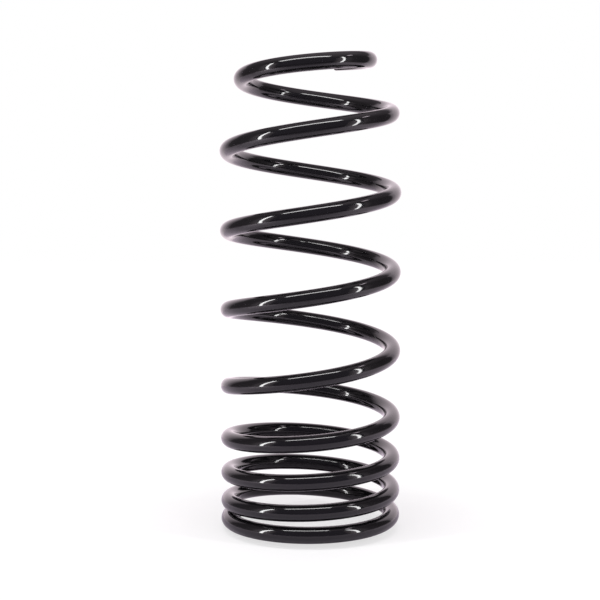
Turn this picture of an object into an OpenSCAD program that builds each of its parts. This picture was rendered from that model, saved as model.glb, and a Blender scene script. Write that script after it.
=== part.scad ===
// Suspension coil spring, wound hot from one round steel bar and painted gloss black.
// It stands upright: the coil axis is Z and the bar's lowest point lies at Z = 0.
// It is wound right-handed, so the bar climbs as it goes anticlockwise seen from above.
// Foot: closed, with the cut bar end just under the turn that passes over it.
// Middle: close turns that loosen by degrees, then wide-open turns of constant pitch.
// Top: a pigtail, where the coil draws in to a smaller eye and flattens out.

/* [Bar] */
// Diameter of the round bar with its paint
bar_d = 12.7; // [9:0.1:16]
// Width of the broken edge round each cut bar end
end_chamfer = 0.8; // [0.3:0.1:2]

/* [Coil] */
// Outside diameter of the parallel turns
body_od = 140; // [115:1:180]
// Turns of bar between its two cut ends
turns = 8.75; // [8.5:0.05:9.5]
// Direction in which the lower bar end is cut, seen from above, anticlockwise from +X
lower_end_angle = 153; // [0:1:360]

/* [Foot] */
// Gap between the lower bar end and the turn that passes over it
seat_gap = 0.6; // [0.3:0.1:2]
// Turns over which the first turn opens out to the close turns
seat_turns = 1.35; // [1:0.05:1.4]
// Height by which the foot tips up to one side, as the unground coil does
lean = 1.7; // [0:0.1:3]
// Direction of that side, seen from above, anticlockwise from +X
lean_angle = 222; // [0:1:360]
// Turns over which the lean fades out
lean_turns = 3.9; // [2:0.1:5]

/* [Close turns] */
// Gap between the turns, just above the first one
close_gap = 9.2; // [5:0.1:12]
// Turn at which the close turns start to loosen
loosen_from = 1.15; // [1:0.05:2]
// Turns over which they loosen
loosen_turns = 3.35; // [2:0.05:4]
// Gap that they loosen to
loose_gap = 23.7; // [14:0.1:30]

/* [Open turns] */
// Turn at which the spring starts to open
open_from = 3; // [2.5:0.05:3.8]
// Turns over which it opens to the full gap
open_turns = 1.65; // [1:0.05:2]
// Gap between the wide-open turns
open_gap = 48.4; // [34:0.1:60]

/* [Pigtail] */
// Outside diameter of the pigtail's eye, at the upper bar end
pigtail_od = 100; // [85:0.5:125]
// Turns over which the coil draws in to the eye
pigtail_turns = 1.45; // [1.2:0.05:1.8]
// Turns over which the open pitch flattens out
flatten_turns = 1.55; // [1:0.05:1.8]
// Height between the upper bar end and the bar one turn below it
pigtail_gap = 18.2; // [14:0.1:30]

/* [Hidden] */
bar_colour = [0.045, 0.045, 0.05];

// Facets: cross-sections in one turn, and sides of each one
sections_per_turn = 36;
bar_sides = 16;

bar_r = bar_d / 2;
body_r = body_od / 2 - bar_r;
pigtail_r = pigtail_od / 2 - bar_r;
flatten_from = turns - flatten_turns;
pigtail_from = turns - pigtail_turns;

// Pitch of each stretch of the coil: how far one turn of it rises
close_pitch = bar_d + close_gap;
loose_pitch = bar_d + loose_gap;
open_pitch = bar_d + open_gap;

// A smooth step from 0 to 1, and the area under it
function eased(s) = s <= 0 ? 0 : s >= 1 ? 1 : s * s * (3 - 2 * s);
function eased_area(s) = s <= 0 ? 0 : s >= 1 ? s - 1 / 2 : pow(s, 3) - pow(s, 4) / 2;

// Height gained by turn u from a pitch that changes smoothly over some turns
function gained(u, from, over, change) = change * over * eased_area((u - from) / over);

// Direction of turn u from the axis, and how far the lean lifts the bar there
function turn_angle(u) = lower_end_angle + 360 * u;
function leaning(u) = lean * (1 - eased(u / lean_turns)) * cos(turn_angle(u) - lean_angle);

// Pitch at the lower bar end, such that the first turn passes over it with seat_gap
seat_rise = bar_d + seat_gap + leaning(0) - leaning(1);
seat_share = gained(1, 0, seat_turns, 1);
tip_pitch = (seat_rise - close_pitch * seat_share) / (1 - seat_share);

// The pigtail's pitch falls off by a square law, gently at first, and this is the area under it.
// Pitch at the upper bar end, such that the end stands pigtail_gap above the turn below it
function flattened(u) = flatten_turns * pow(max(0, (u - flatten_from) / flatten_turns), 3) / 3;
pigtail_rise = bar_d + pigtail_gap;
pigtail_share = flattened(turns) - flattened(turns - 1);
end_pitch = open_pitch + (pigtail_rise - open_pitch) / pigtail_share;

// Centre line of the bar after u turns: how far it has risen, and its distance from the axis
function rise(u) =
    tip_pitch * u
    + gained(u, 0, seat_turns, close_pitch - tip_pitch)
    + gained(u, loosen_from, loosen_turns, loose_pitch - close_pitch)
    + gained(u, open_from, open_turns, open_pitch - loose_pitch)
    + flattened(u) * (end_pitch - open_pitch)
    + leaning(u);
function centre_radius(u) = body_r + (pigtail_r - body_r) * eased((u - pigtail_from) / pigtail_turns);
function outward(u) = [cos(turn_angle(u)), sin(turn_angle(u)), 0];
function centre(u) = centre_radius(u) * outward(u) + [0, 0, rise(u)];

function unit(v) = v / norm(v);
step = 1 / sections_per_turn;
function along_bar(u) = unit(centre(u + step) - centre(u - step));

// One cross-section: a ring of points square to the bar, the first one facing outward
function ring(u, r) =
    let (t = along_bar(u), out = outward(u), side = unit(out - (out * t) * t), up = cross(side, t))
    [for (k = [0 : bar_sides - 1])
        let (a = 360 * k / bar_sides)
        centre(u) + r * (cos(a) * side + sin(a) * up)];

// Stations along the bar as [turn, radius]: a broken edge at each end, and between them
// equal steps that take in the coil's widest points along X and Y
lower_edge = end_chamfer / (2 * PI * body_r);
upper_edge = end_chamfer / (2 * PI * pigtail_r);
first_step = ceil(lower_end_angle * sections_per_turn / 360);
last_step = floor(turn_angle(turns) * sections_per_turn / 360);
even_turns = [for (i = [first_step : last_step]) i * step - lower_end_angle / 360];
stations = concat(
    [[0, bar_r - end_chamfer], [lower_edge, bar_r]],
    [for (u = even_turns) if (u > 2 * lower_edge && u < turns - 2 * upper_edge) [u, bar_r]],
    [[turns - upper_edge, bar_r], [turns, bar_r - end_chamfer]]
);

// A bar swept through rings of equal count, closed by a flat face at each end
module swept_bar(rings) {
    n = len(rings);
    m = len(rings[0]);
    walls = [for (i = [0 : n - 2], k = [0 : m - 1], half = [0, 1])
        let (a = i * m + k, b = i * m + (k + 1) % m)
        half == 0 ? [a, b, b + m] : [a, b + m, a + m]];
    lower_face = [for (k = [0 : m - 1]) m - 1 - k];
    upper_face = [for (k = [0 : m - 1]) (n - 1) * m + k];
    polyhedron(points = [for (r = rings) each r], faces = concat([lower_face], walls, [upper_face]));
}

module coil_spring() {
    rings = [for (s = stations) ring(s[0], s[1])];
    lowest = min([for (r = rings, p = r) p[2]]);
    color(bar_colour)
    translate([0, 0, -lowest])
    swept_bar(rings);
}

coil_spring();
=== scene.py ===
import bisect
import math

import bmesh
import bpy
from mathutils import Matrix, Vector


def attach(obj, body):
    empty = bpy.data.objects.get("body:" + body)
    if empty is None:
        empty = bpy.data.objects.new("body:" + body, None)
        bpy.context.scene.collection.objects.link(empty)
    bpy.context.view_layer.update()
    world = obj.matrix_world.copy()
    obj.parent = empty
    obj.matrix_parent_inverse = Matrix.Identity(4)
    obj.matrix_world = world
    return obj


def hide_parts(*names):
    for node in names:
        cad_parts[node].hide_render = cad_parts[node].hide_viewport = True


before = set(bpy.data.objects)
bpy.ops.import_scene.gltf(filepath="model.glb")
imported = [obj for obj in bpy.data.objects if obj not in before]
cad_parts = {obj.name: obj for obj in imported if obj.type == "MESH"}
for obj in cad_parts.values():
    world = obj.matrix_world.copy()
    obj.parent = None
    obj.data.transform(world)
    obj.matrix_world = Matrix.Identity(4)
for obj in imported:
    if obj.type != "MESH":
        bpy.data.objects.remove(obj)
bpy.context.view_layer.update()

# The bar, wound into a coil
# One round bar of spring steel, wound hot on a mandrel, right-handed. It has a closed foot, close
# turns, wide-open turns and a drawn-in pigtail on top. Its ends are cut square, their rims broken.
# It stands free on its foot, and nothing is fixed to it.

# the sizes of the bar and of its centre line are those of the part's source, in metres
BAR_RADIUS = 0.00635
END_BREAK = 0.0008
COIL_RADIUS = 0.07 - BAR_RADIUS
TURNS = 8.75
LOWER_END_ANGLE = math.radians(153)

SEAT_GAP = 0.0006
SEAT_TURNS = 1.35
LEAN = 0.0017
LEAN_ANGLE = math.radians(222)
LEAN_TURNS = 3.9
CLOSE_PITCH = 2 * BAR_RADIUS + 0.0092
LOOSEN_FROM = 1.15
LOOSEN_TURNS = 3.35
LOOSE_PITCH = 2 * BAR_RADIUS + 0.0237
OPEN_FROM = 3
OPEN_TURNS = 1.65
OPEN_PITCH = 2 * BAR_RADIUS + 0.0484
PIGTAIL_RADIUS = 0.05 - BAR_RADIUS
PIGTAIL_TURNS = 1.45
FLATTEN_TURNS = 1.55
PIGTAIL_RISE = 2 * BAR_RADIUS + 0.0182

# how finely the bar is made: sides round it, short lengths along it, and facets of a broken rim
BAR_SIDES = 48
BAR_LENGTHS = 1050
RIM_FACETS = 3


def eased(share):
    """A smooth step from 0 to 1."""
    share = min(max(share, 0), 1)
    return share * share * (3 - 2 * share)


def eased_area(share):
    """The area under the smooth step, up to a share of it."""
    if share > 1:
        return share - 0.5
    share = max(share, 0)
    return share ** 3 - share ** 4 / 2


def gained(turn, start, over, change):
    """Height gained by a turn from a pitch that changes smoothly over some turns."""
    return change * over * eased_area((turn - start) / over)


def flattened(turn):
    """How far the pigtail's flattening has gone: the pitch falls off by a square law."""
    return FLATTEN_TURNS * max(0, 1 + (turn - TURNS) / FLATTEN_TURNS) ** 3 / 3


def turn_angle(turn):
    return LOWER_END_ANGLE + 2 * math.pi * turn


def leaning(turn):
    """How far the foot's lean lifts the bar, fading out over the lowest turns."""
    return LEAN * (1 - eased(turn / LEAN_TURNS)) * math.cos(turn_angle(turn) - LEAN_ANGLE)


# pitch at the lower end, such that the first turn passes just over it, and at the upper end
seat_rise = 2 * BAR_RADIUS + SEAT_GAP + leaning(0) - leaning(1)
seat_share = gained(1, 0, SEAT_TURNS, 1)
tip_pitch = (seat_rise - CLOSE_PITCH * seat_share) / (1 - seat_share)
end_pitch = OPEN_PITCH + (PIGTAIL_RISE - OPEN_PITCH) / (flattened(TURNS) - flattened(TURNS - 1))


def rise(turn):
    return (
        tip_pitch * turn
        + gained(turn, 0, SEAT_TURNS, CLOSE_PITCH - tip_pitch)
        + gained(turn, LOOSEN_FROM, LOOSEN_TURNS, LOOSE_PITCH - CLOSE_PITCH)
        + gained(turn, OPEN_FROM, OPEN_TURNS, OPEN_PITCH - LOOSE_PITCH)
        + flattened(turn) * (end_pitch - OPEN_PITCH)
        + leaning(turn)
    )


# the part stands on Z = 0: the line is lowered by its lowest point, which lies in the first turns,
# less the bar's radius
foot_level = min(rise(i / 400) for i in range(500)) - BAR_RADIUS


def centre(turn):
    """The bar's centre line."""
    drawn_in = eased((turn - TURNS + PIGTAIL_TURNS) / PIGTAIL_TURNS)
    radius = COIL_RADIUS + (PIGTAIL_RADIUS - COIL_RADIUS) * drawn_in
    angle = turn_angle(turn)
    return Vector((radius * math.cos(angle), radius * math.sin(angle), rise(turn) - foot_level))


def ring_place(turn):
    """Where a cross-section stands: its X points out from the coil and its Z along the bar."""
    step = 0.0005
    along = (centre(turn + step) - centre(turn - step)).normalized()
    out = Vector((math.cos(turn_angle(turn)), math.sin(turn_angle(turn)), 0))
    out = (out - out.dot(along) * along).normalized()
    place = Matrix((out, along.cross(out), along)).transposed().to_4x4()
    place.translation = centre(turn)
    return place


# length of bar used up by each of many turn values, to wind the bar without stretching it
wound_turns = [TURNS * i / 4000 for i in range(4001)]
wound_lengths = [0]
for a, b in zip(wound_turns, wound_turns[1:]):
    wound_lengths.append(wound_lengths[-1] + (centre(b) - centre(a)).length)
bar_length = wound_lengths[-1]


def turn_at(length):
    """The turn reached by a length of bar."""
    i = min(max(bisect.bisect_left(wound_lengths, length), 1), len(wound_turns) - 1)
    share = (length - wound_lengths[i - 1]) / (wound_lengths[i] - wound_lengths[i - 1])
    return wound_turns[i - 1] + share * (wound_turns[i] - wound_turns[i - 1])


# the straight bar: the edges of its rims are the short ones, and those along it the long ones
bm = bmesh.new()
bmesh.ops.create_cone(
    bm, cap_ends=True, cap_tris=False, segments=BAR_SIDES, radius1=BAR_RADIUS, radius2=BAR_RADIUS,
    depth=bar_length, matrix=Matrix.Translation((0, 0, bar_length / 2)),
)
bmesh.ops.bevel(
    bm, geom=[e for e in bm.edges if e.calc_length() < 0.01], offset=END_BREAK, segments=RIM_FACETS,
    profile=0.5, affect="EDGES", material=-1,
)
bmesh.ops.subdivide_edges(
    bm, edges=[e for e in bm.edges if e.calc_length() > 0.1], cuts=BAR_LENGTHS - 1,
)
# its faces are pointed outwards while it is straight: on the wound bar this would turn them inwards
bmesh.ops.recalc_face_normals(bm, faces=bm.faces)

# the bar is wound: each ring of it goes to its place, and the paint keeps the straight bar's places
straight = bm.verts.layers.float_vector.new("straight_bar")
ring_places = {}
for v in bm.verts:
    v[straight] = v.co
    along_bar = round(v.co.z, 6)
    if along_bar not in ring_places:
        ring_places[along_bar] = ring_place(turn_at(v.co.z))
    v.co = ring_places[along_bar] @ Vector((v.co.x, v.co.y, 0))
for f in bm.faces:
    f.smooth = len(f.verts) == 4
mesh = bpy.data.meshes.new("coil_bar")
bm.to_mesh(mesh)
bm.free()
coil_bar = bpy.data.objects.new("coil_bar", mesh)
bpy.context.scene.collection.objects.link(coil_bar)


def linear(hex_colour):
    """An sRGB hex colour as the linear values that a shader takes."""
    parts = [int(hex_colour[i:i + 2], 16) / 255 for i in (1, 3, 5)]
    return [c / 12.92 if c <= 0.04045 else ((c + 0.055) / 1.055) ** 2.4 for c in parts] + [1]


def add(tree, kind, settings=None, **links):
    """Adds one node, with its settings by name or socket number, and its links by socket name,
    or by an underscore and the socket number."""
    node = tree.nodes.new(kind)
    for name, value in (settings or {}).items():
        if isinstance(name, int) or name in node.inputs:
            node.inputs[name].default_value = value
        else:
            setattr(node, name, value)
    for name, source in links.items():
        socket = int(name[1:]) if name[1:].isdigit() else name.replace("_", " ")
        tree.links.new(source, node.inputs[socket])
    return node


# Gloss black powder coat: black pigment in a polyester resin, baked until it flows out.
# It gives the eye a near-black body with sharp reflections that waver a little, because the
# hot-rolled bar under it isn't quite true and the film sets with a fine orange peel.
ROLL_MARK_ACROSS = 0.008
ROLL_MARK_ALONG = 0.04
ROLL_MARK_DEPTH = 0.0003
PEEL_GRAIN = 0.0022
PEEL_DEPTH = 0.00006
PATCH = 0.02

powder_coat = bpy.data.materials.new("gloss_black_powder_coat")
powder_coat.use_nodes = True
tree = powder_coat.node_tree
tree.nodes.clear()
on_bar = add(
    tree, "ShaderNodeAttribute",
    {"attribute_name": "straight_bar", "attribute_type": "GEOMETRY"},
)
roll_marks = add(
    tree, "ShaderNodeMapping",
    {"Scale": (1 / ROLL_MARK_ACROSS, 1 / ROLL_MARK_ACROSS, 1 / ROLL_MARK_ALONG)},
    Vector=on_bar.outputs["Vector"],
)
waver = add(
    tree, "ShaderNodeTexNoise", {"Scale": 1, "Detail": 2, "Roughness": 0.5},
    Vector=roll_marks.outputs[0],
)
peel = add(
    tree, "ShaderNodeTexNoise", {"Scale": 1 / PEEL_GRAIN, "Detail": 1, "Roughness": 0.4},
    Vector=on_bar.outputs["Vector"],
)
patches = add(
    tree, "ShaderNodeTexNoise", {"Scale": 1 / PATCH, "Detail": 3, "Roughness": 0.6},
    Vector=on_bar.outputs["Vector"],
)
wave_bump = add(
    tree, "ShaderNodeBump", {"Strength": 0.04, "Distance": ROLL_MARK_DEPTH},
    Height=waver.outputs["Fac"],
)
peel_bump = add(
    tree, "ShaderNodeBump", {"Strength": 0.02, "Distance": PEEL_DEPTH},
    Height=peel.outputs["Fac"], Normal=wave_bump.outputs[0],
)
film = add(
    tree, "ShaderNodeMix", {"data_type": "RGBA", 6: linear("#09090a"), 7: linear("#100f11")},
    _0=patches.outputs["Fac"],
)
gloss = add(
    tree, "ShaderNodeMapRange", {"To Min": 0.05, "To Max": 0.1}, Value=patches.outputs["Fac"],
)
paint = add(
    tree, "ShaderNodeBsdfPrincipled", {"IOR": 1.5},
    Base_Color=film.outputs[2], Roughness=gloss.outputs[0], Normal=peel_bump.outputs[0],
)
add(tree, "ShaderNodeOutputMaterial", Surface=paint.outputs[0])
mesh.materials.append(powder_coat)

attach(coil_bar, "root")
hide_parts("coil_spring")


def sheet(name, size_x, size_y, place, turned):
    """A flat rectangle, laid out in its own mesh: turned about X, Y and Z, then placed."""
    bm = bmesh.new()
    bmesh.ops.create_grid(bm, x_segments=1, y_segments=1, size=0.5)
    stand = Matrix.Translation(place)
    for axis, angle in zip("XYZ", turned):
        stand = stand @ Matrix.Rotation(math.radians(angle), 4, axis)
    spread = Matrix.Diagonal((size_x, size_y, 1, 1))
    bmesh.ops.transform(bm, matrix=stand @ spread, verts=bm.verts)
    mesh = bpy.data.meshes.new(name)
    bm.to_mesh(mesh)
    bm.free()
    ob = bpy.data.objects.new(name, mesh)
    bpy.context.scene.collection.objects.link(ob)
    return ob


def add_levels(tree, terms):
    """The sum of some terms. A term is a level times its slopes, and a slope is an axis, two
    places on it in metres, and its value at each."""
    place = add(tree, "ShaderNodeTexCoord")
    split = add(tree, "ShaderNodeSeparateXYZ", Vector=place.outputs["Object"])
    total = add(tree, "ShaderNodeMath", {"operation": "ADD", 0: 0, 1: 0})
    for level, *slopes in terms:
        term = add(tree, "ShaderNodeMath", {"operation": "ADD", 0: level, 1: 0})
        for axis, start, end, low, high in slopes:
            slope = add(
                tree, "ShaderNodeMapRange",
                {"interpolation_type": "SMOOTHSTEP", "From Min": start, "From Max": end,
                 "To Min": low, "To Max": high},
                Value=split.outputs[axis],
            )
            term = add(
                tree, "ShaderNodeMath", {"operation": "MULTIPLY"},
                _0=term.outputs[0], _1=slope.outputs[0],
            )
        total = add(
            tree, "ShaderNodeMath", {"operation": "ADD"}, _0=total.outputs[0], _1=term.outputs[0],
        )
    return total


# The floor of the light tent
# A white acrylic sheet. Round the spring it takes light and shadow as they fall, softened by
# its own glow, and further out it fades into the white of the background. The gloss of the
# spring mirrors it with a painted shade that greys its front edge, and with painted light
# where the tent spills light on it.
FLOOR_SIZE = 6
FADE_START = 0.09
FADE_END = 0.22
CLOTH_LIGHT = "#fff0fb"

floor = sheet("floor", FLOOR_SIZE, FLOOR_SIZE, (0, 0, 0), (0, 0, 0))
acrylic = bpy.data.materials.new("white_acrylic_sheet")
acrylic.use_nodes = True
tree = acrylic.node_tree
tree.nodes.clear()
path = add(tree, "ShaderNodeLightPath")
spot = add(tree, "ShaderNodeTexCoord")
split = add(tree, "ShaderNodeSeparateXYZ", Vector=spot.outputs["Object"])
# painted shade: the sheet's colour greys from #e9e2ed to #a19aa4 towards its front edge, where less
# of the tent's light reaches it
front_edge_painted_shade = add(
    tree, "ShaderNodeMapRange",
    {"interpolation_type": "SMOOTHSTEP", "From Min": -0.3, "From Max": -0.6},
    Value=split.outputs["Y"],
)
sheet_tone_with_painted_shade = add(
    tree, "ShaderNodeMix", {"data_type": "RGBA", 6: linear("#e9e2ed"), 7: linear("#a19aa4")},
    _0=front_edge_painted_shade.outputs[0],
)
tone = add(
    tree, "ShaderNodeMix", {"data_type": "RGBA", 7: linear("#fafafa")},
    _0=path.outputs["Is Camera Ray"], _6=sheet_tone_with_painted_shade.outputs[2],
)
lit = add(tree, "ShaderNodeBsdfDiffuse", Color=tone.outputs[2])

# painted light: a glow that the camera doesn't see, for the light that falls on the sheet behind
# the spring, to its right, far to its right, and to its left
painted_spill = add_levels(tree, (
    (0.25, ("Y", 0, 0.2, 0, 1)),
    (0.25, ("X", 0, 0.25, 0, 1), ("Y", -0.35, -0.1, 0, 1)),
    (0.4, ("X", 0.15, 0.5, 0, 1), ("Y", -0.5, -0.25, 0, 1), ("Y", 0, 0.2, 1, 0)),
    (0.85, ("X", -0.45, -0.1, 1, 0), ("Y", -0.5, -0.25, 0, 1), ("Y", -0.2, 0.15, 1, 0)),
))
unseen = add(
    tree, "ShaderNodeMath", {"operation": "SUBTRACT", 0: 1}, _1=path.outputs["Is Camera Ray"],
)
painted_spill_unseen = add(
    tree, "ShaderNodeMath", {"operation": "MULTIPLY"}, _0=painted_spill.outputs[0], _1=unseen.outputs[0],
)
painted_spill_light = add(
    tree, "ShaderNodeEmission", {"Color": linear(CLOTH_LIGHT)}, Strength=painted_spill_unseen.outputs[0],
)
lit = add(tree, "ShaderNodeAddShader", _0=lit.outputs[0], _1=painted_spill_light.outputs[0])

# the plain white that the camera sees more and more of with distance from the spring
plain = add(tree, "ShaderNodeEmission", {"Color": linear("#ffffff"), "Strength": 1.06})
far = add(tree, "ShaderNodeVectorMath", {"operation": "LENGTH"}, _0=spot.outputs["Object"])
fade = add(
    tree, "ShaderNodeMapRange",
    {"interpolation_type": "SMOOTHSTEP", "From Min": FADE_START, "From Max": FADE_END,
     "To Min": 0.6, "To Max": 1},
    Value=far.outputs["Value"],
)
seen_far = add(
    tree, "ShaderNodeMath", {"operation": "MULTIPLY"},
    _0=fade.outputs[0], _1=path.outputs["Is Camera Ray"],
)
near = add(
    tree, "ShaderNodeMixShader", _0=seen_far.outputs[0], _1=lit.outputs[0], _2=plain.outputs[0],
)
add(tree, "ShaderNodeOutputMaterial", Surface=near.outputs[0])
floor.data.materials.append(acrylic)


def glow(name, colour, *terms):
    """A surface that shines with the sum of its terms."""
    mat = bpy.data.materials.new(name)
    mat.use_nodes = True
    tree = mat.node_tree
    tree.nodes.clear()
    level = add_levels(tree, terms)
    shine = add(
        tree, "ShaderNodeEmission", {"Color": linear(colour)}, Strength=level.outputs[0],
    )
    add(tree, "ShaderNodeOutputMaterial", Surface=shine.outputs[0])
    return mat


# The cloth of the tent and the dim room
# Cloth on the left and right and over the top, a bright paper at the back, and the dim room
# that the tent's open front faces. The camera looks through them; only the gloss shows them.
TENT_SIDE = 0.7
TENT_TOP = 0.72
ROOM_SIDE = 1.2

# the side cloths are dim in the middle, and lighter to the front, to the back and at the floor
left_cloth = glow(
    "left_cloth", CLOTH_LIGHT,
    (0.17,),
    (0.08, ("Y", -0.1, 0.15, 1, 0)),
    (0.5, ("Y", -0.28, -0.1, 1, 0)),
    (0.45, ("Y", 0.33, 0.48, 0, 1)),
    (0.3, ("Y", 0.48, 0.62, 0, 1)),
    (0.25, ("Z", 0, 0.1, 1, 0)),
)
right_cloth = glow(
    "right_cloth", CLOTH_LIGHT,
    (0.13,),
    (0.08, ("Y", -0.1, 0.1, 1, 0)),
    (0.3, ("Y", -0.28, -0.12, 1, 0)),
    (0.9, ("Y", 0.34, 0.45, 0, 1)),
    (0.3, ("Y", 0.48, 0.6, 0, 1)),
    (0.6, ("Z", 0, 0.1, 1, 0)),
)
# the flaps beside the opening, lit by the strips in front of them, and a bright seam overhead
lit_flap = glow("lit_flap", CLOTH_LIGHT, (1.3, ("Y", -0.62, -0.42, 0.4, 1)))
lit_seam = glow("lit_seam", CLOTH_LIGHT, (8,))
top_cloth = glow(
    "top_cloth", CLOTH_LIGHT,
    (0.22,),
    (0.45, ("X", -0.5, 0, 0, 1), ("X", 0.1, 0.6, 1, 0), ("Y", 0.05, 0.35, 1, 0)),
    (0.8, ("X", -0.35, -0.15, 1, 0), ("Y", 0.42, 0.56, 0, 1)),
    (0.8, ("X", 0.15, 0.35, 0, 1), ("Y", 0.42, 0.56, 0, 1)),
)
bright_paper = glow("bright_paper", "#fff0f9", (1, ("X", -0.7, -0.35, 1.03, 1.37)))
dim_room = glow("dim_room", "#f3e6ff", (0.25,))
for name, size_x, size_y, place, turned, mat in (
    ("tent_left", 0.72, 0.92, (-TENT_SIDE, 0.16, 0.36), (0, 90, 0), left_cloth),
    ("tent_right", 0.72, 0.92, (TENT_SIDE, 0.16, 0.36), (0, -90, 0), right_cloth),
    ("flap_left", 0.72, 0.24, (-TENT_SIDE, -0.5, 0.36), (0, 90, 0), lit_flap),
    ("flap_right", 0.72, 0.24, (0.66, -0.53, 0.36), (0, -90, 0), lit_flap),
    ("top_seam", 0.06, 0.1, (0.4, -0.065, 0.715), (180, 0, 0), lit_seam),
    ("tent_back", 1.4, 0.9, (0, 0.62, 0.45), (90, 0, 0), bright_paper),
    ("tent_top", 1.4, 0.92, (0, 0.16, TENT_TOP), (180, 0, 0), top_cloth),
    ("room_front", 2.4, 1.6, (0, -1.35, 0.8), (-90, 0, 0), dim_room),
    ("room_top", 2.4, 2.0, (0, -0.35, 1.6), (180, 0, 0), dim_room),
    ("room_left", 1.6, 2.0, (-ROOM_SIDE, -0.35, 0.8), (0, 90, 0), dim_room),
    ("room_right", 1.6, 2.0, (ROOM_SIDE, -0.35, 0.8), (0, -90, 0), dim_room),
):
    wall = sheet(name, size_x, size_y, place, turned)
    wall.data.materials.append(mat)
    wall.visible_camera = False


def lamp(name, place, aim, width, height, power):
    """A flat lamp at place, facing the point aim; width runs along the ground."""
    data = bpy.data.lights.new(name, "AREA")
    data.shape = "RECTANGLE"
    data.size = width
    data.size_y = height
    data.energy = power
    light = bpy.data.objects.new(name, data)
    facing = (Vector(aim) - Vector(place)).to_track_quat("-Z", "Y")
    light.matrix_world = Matrix.Translation(place) @ facing.to_matrix().to_4x4()
    light.visible_camera = False
    bpy.context.scene.collection.objects.link(light)


# The lamps
# One strip over the tent's front edge and one upright strip at each side of the opening.
# Their mirror images are the long streak and the two short ticks on each turn.
lamp("top_strip", (-0.065, -0.24, 0.69), (-0.065, -0.1, 0.1), 0.52, 0.07, 1.85)
lamp("left_strip", (-0.66, -0.35, 0.4), (0, -0.05, 0.4), 0.06, 0.8, 3.5)
lamp("right_strip", (0.62, -0.365, 0.455), (0, -0.05, 0.455), 0.055, 0.87, 3.1)

# The backdrop
# A white studio wall, far off. The camera and the gloss see it white, and it lights the
# spring no more than the room does.
ROOM_LEVEL = 0.3

backdrop = bpy.data.worlds.new("backdrop")
bpy.context.scene.world = backdrop
backdrop.use_nodes = True
tree = backdrop.node_tree
tree.nodes.clear()
path = add(tree, "ShaderNodeLightPath")
mirrored = add(
    tree, "ShaderNodeMath", {"operation": "MAXIMUM"},
    _0=path.outputs["Is Camera Ray"], _1=path.outputs["Is Glossy Ray"],
)
seen = add(
    tree, "ShaderNodeMath", {"operation": "MAXIMUM"},
    _0=mirrored.outputs[0], _1=path.outputs["Is Transmission Ray"],
)
room = add(tree, "ShaderNodeBackground", {"Color": linear("#ffffff"), "Strength": ROOM_LEVEL})
white = add(tree, "ShaderNodeBackground", {"Color": linear("#ffffff"), "Strength": 1})
wall_light = add(
    tree, "ShaderNodeMixShader", _0=seen.outputs[0], _1=room.outputs[0], _2=white.outputs[0],
)
add(tree, "ShaderNodeOutputWorld", Surface=wall_light.outputs[0])

# The camera
# It stands a metre in front, a little above the middle of the spring, and is tipped down.
TIPPED_DOWN = 5.61

camera_data = bpy.data.cameras.new("camera")
camera_data.sensor_width = 36
camera_data.lens = 79.06
camera = bpy.data.objects.new("camera", camera_data)
camera.location = (-0.0081, -1.0198, 0.2794)
camera.rotation_euler = (math.radians(90 - TIPPED_DOWN), 0, 0)
bpy.context.scene.collection.objects.link(camera)
bpy.context.scene.camera = camera
bpy.context.scene.view_settings.view_transform = "Standard"
